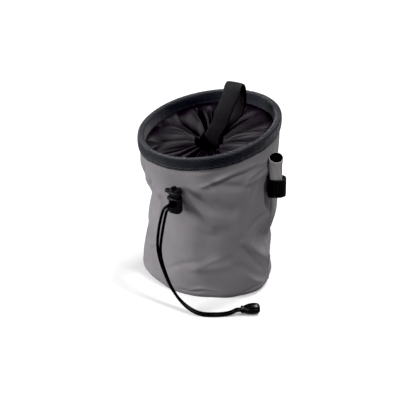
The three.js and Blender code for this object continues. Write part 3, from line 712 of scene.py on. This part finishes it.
def strap(name, spine, wide, width, thickness, ribs, dish):
    """A flat woven strap along a spine, with rounded edges and lengthwise ribs."""
    tangents = unit(np.gradient(spine, axis=0))
    normals = unit(np.cross(tangents, wide))
    flat = np.linspace(-1, 1, STRAP_STEPS + 1)
    relief = 0.07 * MM * np.abs(np.cos(np.pi * ribs * (flat + 1) / 2))
    edge = np.sqrt(np.clip(1 - np.abs(flat) ** 14, 0, 1))
    top_side = [(s, e * thickness / 2 - r * e) for s, e, r in zip(flat, edge, relief)]
    under_side = [(s, -n) for s, n in top_side[::-1]]
    outline = top_side + under_side[1:-1]
    lengths = np.append(0, np.cumsum(np.linalg.norm(np.diff(spine, axis=0), axis=1)))
    rings = []
    for point, normal, run in zip(spine, normals, lengths):
        ring = []
        for s, n in outline:
            bend = dish * (s * s - 0.4) * math.sin(math.pi * run / lengths[-1])
            ring.append(point + wide * s * width / 2 + normal * (n + bend))
        rings.append(ring)
    girth = np.cumsum([0] + [width / STRAP_STEPS] * (len(outline) - 1))
    return skin(name, np.array(rings), uv=(girth, lengths), caps=True)


spine = route_points(spots, np.linspace(0, 1, 150))
loop_web = strap("loop_webbing", spine, along_web, WEB_W, WEB_T, 12, dish=0.5 * MM)
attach(loop_web, "bag")
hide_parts("pull_loop")

# ---------------------------------------------------------------- toggle
TOGGLE_L = 16.5 * MM
TOGGLE_D = 10 * MM
TOGGLE = [
    (0.0, 0.16), (0.36, 0.16), (0.46, 0.1), (0.5, 0.03), (0.57, 0.0), (0.66, 0.015), (0.7, 0.06),
    (0.66, 0.105), (0.64, 0.14), (0.72, 0.2), (0.84, 0.3), (0.94, 0.42), (1.0, 0.55), (1.0, 0.68),
    (0.97, 0.79), (0.88, 0.88), (0.72, 0.945), (0.42, 0.985), (0.0, 1.0),
]
curve = route_points([(r, a, 0) for r, a in TOGGLE], np.linspace(0, 1, 90))
end_at = middles[-1]
ahead = unit(middles[-1] - route_points(middles, np.array([0.9995]))[0])
beside = unit(np.cross((0, 0, 1), ahead))
lifted = np.cross(ahead, beside)
T_SIDES = 96
t_around = np.arange(T_SIDES) / T_SIDES * 2 * np.pi
ring_way = np.cos(t_around)[:, None] * beside + np.sin(t_around)[:, None] * lifted
rings = []
for r, along, _ in curve:
    rib = 0.035 * smoothstep(along, 0.17, 0.3) * (1 - smoothstep(along, 0.8, 0.97))
    ring_r = max(r, 0.002) * TOGGLE_D / 2 * (1 - rib * (1 + np.cos(12 * t_around)))
    at = end_at + ahead * (along * TOGGLE_L + CLEARANCE)
    rings.append(at + ring_r[:, None] * ring_way)
toggle = skin("toggle_bead", np.array(rings), caps=True)
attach(toggle, "bag")
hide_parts("cord_end")

# ---------------------------------------------------------------- brush holder
SLEEVE_W = 10.8 * MM
SLEEVE_D = 9.6 * MM
SLEEVE_H = 31.5 * MM
SLEEVE_Z = 97 * MM
SLEEVE_T = 1.1 * MM
MOUTH_RISE = 4 * MM
sleeve_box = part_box("brush_sleeve")
holder = np.array([(sleeve_box[0][0] + sleeve_box[1][0]) / 2, (sleeve_box[0][1] + sleeve_box[1][1]) / 2, 0])
H_COLUMNS = 96
h_turns = np.arange(H_COLUMNS) / H_COLUMNS * 2 * np.pi
OUTSIDE_ROWS = 43
SLEEVE_ROWS = np.array([(0, 1, 0), (0.5, 0.98, 0), (0.8, 1.02, 0.4), (1, 1.12, 1)])


def sleeve_ring(share, inset, extra=0.0):
    width, rise = table_curve(SLEEVE_ROWS, np.array(share))
    z = SLEEVE_Z + share * SLEEVE_H + rise * MOUTH_RISE * (1 + np.sin(h_turns)) / 2 + extra
    soft = 0.16 * MM * np.sin(3 * h_turns + 5 * share) + 0.1 * MM * np.sin(7 * h_turns + 14 * share)
    half_w = width * SLEEVE_W / 2 - inset + soft
    half_d = width * SLEEVE_D / 2 - inset + soft
    return np.stack([holder[0] + np.cos(h_turns) * half_w, holder[1] + np.sin(h_turns) * half_d, z], -1)


rows = [sleeve_ring(s, 0) for s in np.linspace(0, 0.97, 40)]
rows += [sleeve_ring(1, SLEEVE_T * (0.5 - 0.5 * math.cos(k)), 0.45 * MM * math.sin(k))
         for k in np.linspace(0, math.pi, 7)]
rows += [sleeve_ring(s, SLEEVE_T) for s in np.linspace(0.96, 0, 20)]
sleeve_cloth = skin("sleeve_cloth", np.array(rows), wrap_rows=True,
                    uv=(h_turns * 5.2 * MM, np.linspace(0, 0.068, len(rows))),
                    row_slots=[0] * OUTSIDE_ROWS + [1] * (len(rows) - OUTSIDE_ROWS))
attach(sleeve_cloth, "bag")
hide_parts("brush_sleeve")

LOOP_Z = SLEEVE_Z - 2 * MM
LOOP_H = 17 * MM
LOOP_T = 1.3 * MM
LOOP_FOLD = 2 * MM
FRONT_POWER = 0.5


def loop_ring(over, fold, z, puff=0.0):
    """The webbing lies flat across the front of the sleeve and round its back."""
    pinch = fold * np.maximum(0, np.cos(h_turns)) ** 4
    half_w = SLEEVE_W / 2 + over + pinch + puff
    half_d = np.full(H_COLUMNS, SLEEVE_D / 2 + over) + puff
    power = np.where(np.sin(h_turns) < 0, FRONT_POWER, 1.0)
    across = np.sign(np.cos(h_turns)) * np.abs(np.cos(h_turns)) ** power
    deep = np.sign(np.sin(h_turns)) * np.abs(np.sin(h_turns)) ** power
    return np.stack([holder[0] + across * half_w, holder[1] + deep * half_d, np.full(H_COLUMNS, z)], -1)


rows = []
outer_over = LOOP_T + CLEARANCE
for s in np.linspace(0, 1, 46):
    edge = 0.35 * MM * (max(0, 1 - s / 0.05) ** 2 + max(0, 1 - (1 - s) / 0.05) ** 2)
    stitch = 0.22 * MM * (math.exp(-((s - 0.14) / 0.022) ** 2) + math.exp(-((s - 0.86) / 0.022) ** 2))
    rib = 0.05 * MM * math.cos(2 * math.pi * 13 * s)
    rows.append(loop_ring(outer_over, LOOP_FOLD, LOOP_Z + s * LOOP_H, rib - edge - stitch))
rows += [loop_ring(CLEARANCE, LOOP_FOLD - LOOP_T, LOOP_Z + s * LOOP_H) for s in np.linspace(1, 0, 8)]
brush_web = skin("brush_webbing", np.array(rows), wrap_rows=True,
                 uv=(h_turns * 7 * MM, np.linspace(0, 0.036, len(rows))))
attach(brush_web, "bag")
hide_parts("brush_loop")

# ---------------------------------------------------------------- stitching
RIM_STITCH_PITCH = 2.9 * MM
SEAM_STITCH_PITCH = 3.1 * MM
A_LITTLE_ON = 0.004


def rim_stitches(name, offset):
    """A line of stitches round the tape, along the dent that it makes."""
    count = int(2 * math.pi * RIM_R / RIM_STITCH_PITCH)
    a = np.arange(count) / count * 2 * np.pi
    drops = np.full(count, band_leg * 0.8)
    here = wall_point(a, drops, offset)
    there = wall_point(a + A_LITTLE_ON, drops, offset)
    below = wall_point(a, drops + 0.5 * MM, offset)
    directions = unit(there - here)
    normals = unit(np.cross(directions, here - below))
    return stitch_mesh(name, here, directions, normals, 2.1 * MM, 0.42 * MM)


rim_thread = rim_stitches("rim_stitches", RIM_STACK + 0.02 * MM)
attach(rim_thread, "bag")

inner_thread = rim_stitches("rim_inner_stitches", band_inside - 0.02 * MM)
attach(inner_thread, "bag")


def seam_stitches(name, seam):
    """A line of stitches up the wall, beside its seam."""
    heights = np.arange(4 * MM, 0.126, SEAM_STITCH_PITCH)
    a = np.full(len(heights), math.radians(seam) + 1.7 * MM / BODY_R)
    tops = wall_top(a)
    here = wall_point(a, tops - heights, 0, True)
    above = wall_point(a, tops - heights - 0.5 * MM, 0, True)
    next_to = wall_point(a + A_LITTLE_ON, tops - heights, 0, True)
    directions = unit(above - here)
    normals = unit(np.cross(next_to - here, directions))
    return stitch_mesh(name, here, directions, normals, 2.2 * MM, 0.36 * MM)


for k, seam in enumerate(SEAMS):
    thread = seam_stitches("side_stitches_%d" % (k + 1), seam)
    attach(thread, "bag")


# ---------------------------------------------------------------- materials
def linear(colour):
    """An 8-bit sRGB colour as linear values, with full alpha."""
    shares = [c / 255 for c in colour]
    return tuple(((c + 0.055) / 1.055) ** 2.4 if c > 0.04045 else c / 12.92 for c in shares) + (1,)


class Surface:
    """A procedural material: its nodes are added through short calls."""

    def __init__(self, name):
        self.material = bpy.data.materials.new(name)
        self.material.use_nodes = True
        self.nodes = self.material.node_tree.nodes
        self.links = self.material.node_tree.links
        self.shader = self.nodes["Principled BSDF"]

    def node(self, kind, **settings):
        made = self.nodes.new(kind)
        for key, value in settings.items():
            setattr(made, key, value)
        return made

    def join(self, source, target):
        if isinstance(source, (int, float, tuple)):
            target.default_value = source
        else:
            self.links.new(source, target)

    def math(self, operation, *values):
        made = self.node("ShaderNodeMath", operation=operation)
        for value, socket in zip(values, made.inputs):
            self.join(value, socket)
        return made.outputs[0]

    def uv(self):
        made = self.node("ShaderNodeUVMap", uv_map="cloth")
        split = self.node("ShaderNodeSeparateXYZ")
        self.links.new(made.outputs[0], split.inputs[0])
        return split.outputs[0], split.outputs[1]

    def place(self):
        return self.node("ShaderNodeTexCoord").outputs["Object"]

    def noise(self, scale, detail, roughness):
        made = self.node("ShaderNodeTexNoise")
        made.inputs["Scale"].default_value = scale
        made.inputs["Detail"].default_value = detail
        made.inputs["Roughness"].default_value = roughness
        self.links.new(self.place(), made.inputs["Vector"])
        return made.outputs["Fac"]

    def spread(self, value, low, high, to_low, to_high):
        made = self.node("ShaderNodeMapRange")
        for socket, number in zip(made.inputs, (value, low, high, to_low, to_high)):
            self.join(number, socket)
        return made.outputs[0]

    def mix(self, share, one, two):
        made = self.node("ShaderNodeMix", data_type="RGBA")
        self.join(share, made.inputs[0])
        self.join(one, made.inputs[6])
        self.join(two, made.inputs[7])
        return made.outputs[2]

    def bump(self, height, distance, strength):
        made = self.node("ShaderNodeBump")
        made.inputs["Strength"].default_value = strength
        made.inputs["Distance"].default_value = distance
        self.join(height, made.inputs["Height"])
        self.links.new(made.outputs[0], self.shader.inputs["Normal"])

    def finish(self, colour, roughness, sheen, sheen_roughness, specular):
        self.join(colour, self.shader.inputs["Base Color"])
        self.join(roughness, self.shader.inputs["Roughness"])
        self.shader.inputs["Sheen Weight"].default_value = sheen
        self.shader.inputs["Sheen Roughness"].default_value = sheen_roughness
        self.shader.inputs["Specular IOR Level"].default_value = specular
        return self.material


def threads(surface, pitch_u, pitch_v):
    """Plain weave from the cloth's own coordinates: two sets of threads, over and under by turns."""
    u, v = surface.uv()
    across = surface.math("SINE", surface.math("MULTIPLY", u, 2 * math.pi / pitch_u))
    along = surface.math("SINE", surface.math("MULTIPLY", v, 2 * math.pi / pitch_v))
    return surface.math("MULTIPLY", across, along)


def body_material(name, light, dark):
    s = Surface(name)
    weave = threads(s, 0.9 * MM, 0.9 * MM)
    fibre = s.noise(2600, 3, 0.6)
    patches = s.noise(38, 4, 0.5)
    share = s.math("ADD", s.spread(weave, -1, 1, -0.16, 0.16), s.spread(patches, 0.3, 0.7, 0.22, 0.68))
    share = s.math("ADD", share, s.spread(fibre, 0.3, 0.7, -0.12, 0.12))
    height = s.math("ADD", weave, s.math("MULTIPLY", fibre, 0.8))
    s.bump(height, 0.00009, 0.7)
    rough = s.spread(fibre, 0.3, 0.7, 0.78, 0.92)
    return s.finish(s.mix(share, linear(dark), linear(light)), rough, 0.1, 0.5, 0.12)


body_cloth = body_material("body_weave", (146, 142, 147), (118, 115, 118))
# The sleeve gets a lighter copy of the body's weave: painted light that lifts the shade the body casts on
# the sleeve
sleeve_weave_painted_light = body_material("sleeve_weave_painted_light", (172, 167, 171), (142, 138, 141))


def lining_material():
    s = Surface("lining_cloth")
    fibre = s.noise(1800, 3, 0.6)
    s.bump(fibre, 0.00008, 0.6)
    return s.finish(s.mix(fibre, linear((3, 3, 3)), linear((14, 13, 14))), 0.9, 0.0, 0.5, 0.05)


lining = lining_material()


def tape_material():
    """Herringbone: slanted ribs that turn about at every stripe."""
    s = Surface("rim_herringbone")
    u, v = s.uv()
    stripe = s.math("SUBTRACT", STRIPE, s.math("PINGPONG", u, STRIPE))
    slant = s.math("ADD", stripe, v)
    ribs = s.math("SINE", s.math("MULTIPLY", slant, 2 * math.pi / RIB_PITCH))
    cross = s.math("SINE", s.math("MULTIPLY", s.math("SUBTRACT", v, stripe), 2 * math.pi / (0.5 * MM)))
    fibre = s.noise(1500, 3, 0.6)
    patches = s.noise(45, 3, 0.5)
    share = s.math("ADD", s.spread(ribs, -1, 1, 0.0, 0.56), s.spread(fibre, 0.3, 0.7, -0.14, 0.14))
    share = s.math("ADD", share, s.spread(patches, 0.3, 0.7, -0.1, 0.14))
    height = s.math("ADD", ribs, s.math("MULTIPLY", cross, 0.3))
    s.bump(height, 0.00016, 0.8)
    return s.finish(s.mix(share, linear((3, 3, 4)), linear((52, 54, 66))), 0.5, 0.35, 0.3, 0.12)


tape = tape_material()


def nylon_material():
    s = Surface("collar_nylon_cloth")
    weave = threads(s, 0.5 * MM, 0.5 * MM)
    patches = s.noise(60, 4, 0.55)
    fibre = s.noise(1700, 2, 0.5)
    share = s.math("ADD", s.spread(patches, 0.3, 0.7, 0.2, 0.75), s.spread(fibre, 0.3, 0.7, -0.1, 0.1))
    s.bump(s.math("ADD", weave, fibre), 0.00005, 0.5)
    rough = s.spread(patches, 0.3, 0.7, 0.36, 0.5)
    return s.finish(s.mix(share, linear((6, 2, 7)), linear((24, 15, 26))), rough, 0.0, 0.35, 0.28)


nylon = nylon_material()


def webbing_material(name, light, dark):
    s = Surface(name)
    u, v = s.uv()
    picks = s.math("SINE", s.math("MULTIPLY", v, 2 * math.pi / (0.9 * MM)))
    ends = s.math("SINE", s.math("MULTIPLY", u, 2 * math.pi / (1.25 * MM)))
    fibre = s.noise(1700, 3, 0.6)
    weave = s.math("MULTIPLY", picks, ends)
    share = s.math("ADD", s.spread(ends, -1, 1, 0.2, 0.6), s.spread(weave, -1, 1, -0.15, 0.15))
    share = s.math("ADD", share, s.spread(fibre, 0.3, 0.7, -0.12, 0.12))
    s.bump(s.math("ADD", weave, s.math("MULTIPLY", ends, 0.7)), 0.00012, 0.7)
    return s.finish(s.mix(share, linear(dark), linear(light)), 0.45, 0.05, 0.4, 0.25)


webbing = webbing_material("webbing_weave", (32, 28, 32), (8, 7, 9))
dark_webbing = webbing_material("brush_loop_weave", (7, 7, 8), (2, 2, 2))


def cord_material():
    s = Surface("cord_weave")
    u, v = s.uv()
    twist = s.math("MULTIPLY", v, 1 / BRAID_PITCH)
    turn = s.math("MULTIPLY", u, 16 * math.pi)
    one = s.math("SINE", s.math("ADD", turn, twist))
    two = s.math("SINE", s.math("SUBTRACT", turn, twist))
    braid_height = s.math("MAXIMUM", one, two)
    fibre = s.noise(3000, 2, 0.5)
    s.bump(s.math("ADD", braid_height, fibre), 0.00006, 0.5)
    share = s.math("ADD", s.spread(braid_height, -0.4, 1, 0.0, 0.6), s.spread(fibre, 0.3, 0.7, -0.1, 0.2))
    return s.finish(s.mix(share, linear((1, 1, 1)), linear((9, 9, 10))), 0.32, 0.0, 0.4, 0.22)


cord_cloth = cord_material()


def plastic_material(name, colour, roughness):
    s = Surface(name)
    grain = s.noise(1400, 3, 0.6)
    broad = s.noise(120, 2, 0.5)
    s.bump(grain, 0.00004, 0.5)
    rough = s.math("ADD", s.spread(grain, 0.3, 0.7, roughness - 0.05, roughness + 0.06),
                   s.spread(broad, 0.3, 0.7, -0.03, 0.03))
    tone = s.mix(s.spread(broad, 0.3, 0.7, 0.2, 0.8), linear(colour), linear(tuple(c + 3 for c in colour)))
    return s.finish(tone, rough, 0, 0.5, 0.4)


lock_plastic = plastic_material("lock_plastic", (10, 10, 11), 0.42)
bead_plastic = plastic_material("bead_plastic", (3, 3, 4), 0.22)


def thread_material(name, light, dark):
    s = Surface(name)
    fibre = s.noise(2400, 2, 0.5)
    s.bump(fibre, 0.00004, 0.5)
    return s.finish(s.mix(fibre, linear(dark), linear(light)), 0.6, 0.2, 0.4, 0.3)


rim_thread_cloth = thread_material("rim_thread", (74, 75, 86), (38, 39, 46))
body_thread_cloth = thread_material("body_thread", (150, 147, 152), (112, 110, 113))


def dress(thing, *materials):
    for material in materials:
        thing.data.materials.append(material)


dress(bag_cloth, body_cloth, lining)
dress(base_cloth, body_cloth)
dress(rim_tape, tape)
dress(collar_cloth, nylon)
dress(loop_web, webbing)
dress(toggle, bead_plastic)
dress(sleeve_cloth, sleeve_weave_painted_light, lining)
dress(brush_web, dark_webbing)
dress(rim_thread, rim_thread_cloth)
dress(inner_thread, rim_thread_cloth)
for piece, path in cords:
    dress(piece, cord_cloth)
for k in range(len(SEAMS)):
    dress(bpy.data.objects["side_stitches_%d" % (k + 1)], body_thread_cloth)
for node in ("lock_barrel", "lock_plunger"):
    thing = frame["nodes"][node]
    for slot_at in range(len(thing.material_slots)):
        thing.material_slots[slot_at].material = lock_plastic

# ---------------------------------------------------------------- floor and light
LIGHT_AIM = (0, 0, 0.07)
floor_corners = np.array([(-4, -4, 0), (4, -4, 0), (4, 4, 0), (-4, 4, 0)], float)
floor = mesh_object("floor", floor_corners, [(0, 1, 2, 3)])
floor.visible_diffuse = False
floor.visible_glossy = False
floor_paint = Surface("floor_paper")
floor_grain = floor_paint.noise(3, 2, 0.5)
floor_colour = floor_paint.mix(floor_grain, (0.9, 0.9, 0.9, 1), (0.93, 0.93, 0.93, 1))
floor_paint.shader.inputs["Emission Color"].default_value = (1, 1, 1, 1)
floor_paint.shader.inputs["Emission Strength"].default_value = 0.08
dress(floor, floor_paint.finish(floor_colour, 0.95, 0, 0.5, 0.1))


def area_light(name, place, size, power):
    """A soft white lamp that faces the bag's middle."""
    lamp = bpy.data.lights.new(name, "AREA")
    lamp.shape = "RECTANGLE"
    lamp.size, lamp.size_y = size
    lamp.energy = power
    thing = bpy.data.objects.new(name, lamp)
    scene.collection.objects.link(thing)
    thing.location = place
    direction = Vector(LIGHT_AIM) - Vector(place)
    thing.rotation_euler = direction.to_track_quat("-Z", "Y").to_euler()


area_light("left_softbox", (-1.4, -0.35, 0.65), (0.5, 0.8), 26)
area_light("front_fill", (-0.8, -1.25, 0.9), (0.7, 0.7), 3.5)
area_light("top_softbox", (0.6, -0.7, 1.3), (0.2, 0.2), 9)
area_light("back_softbox", (0.5, 0.45, 1.3), (0.5, 0.5), 14)

world = bpy.data.worlds.new("studio")
scene.world = world
world.use_nodes = True
world.node_tree.nodes["Background"].inputs[0].default_value = (1, 1, 1, 1)
world.node_tree.nodes["Background"].inputs[1].default_value = 0.25
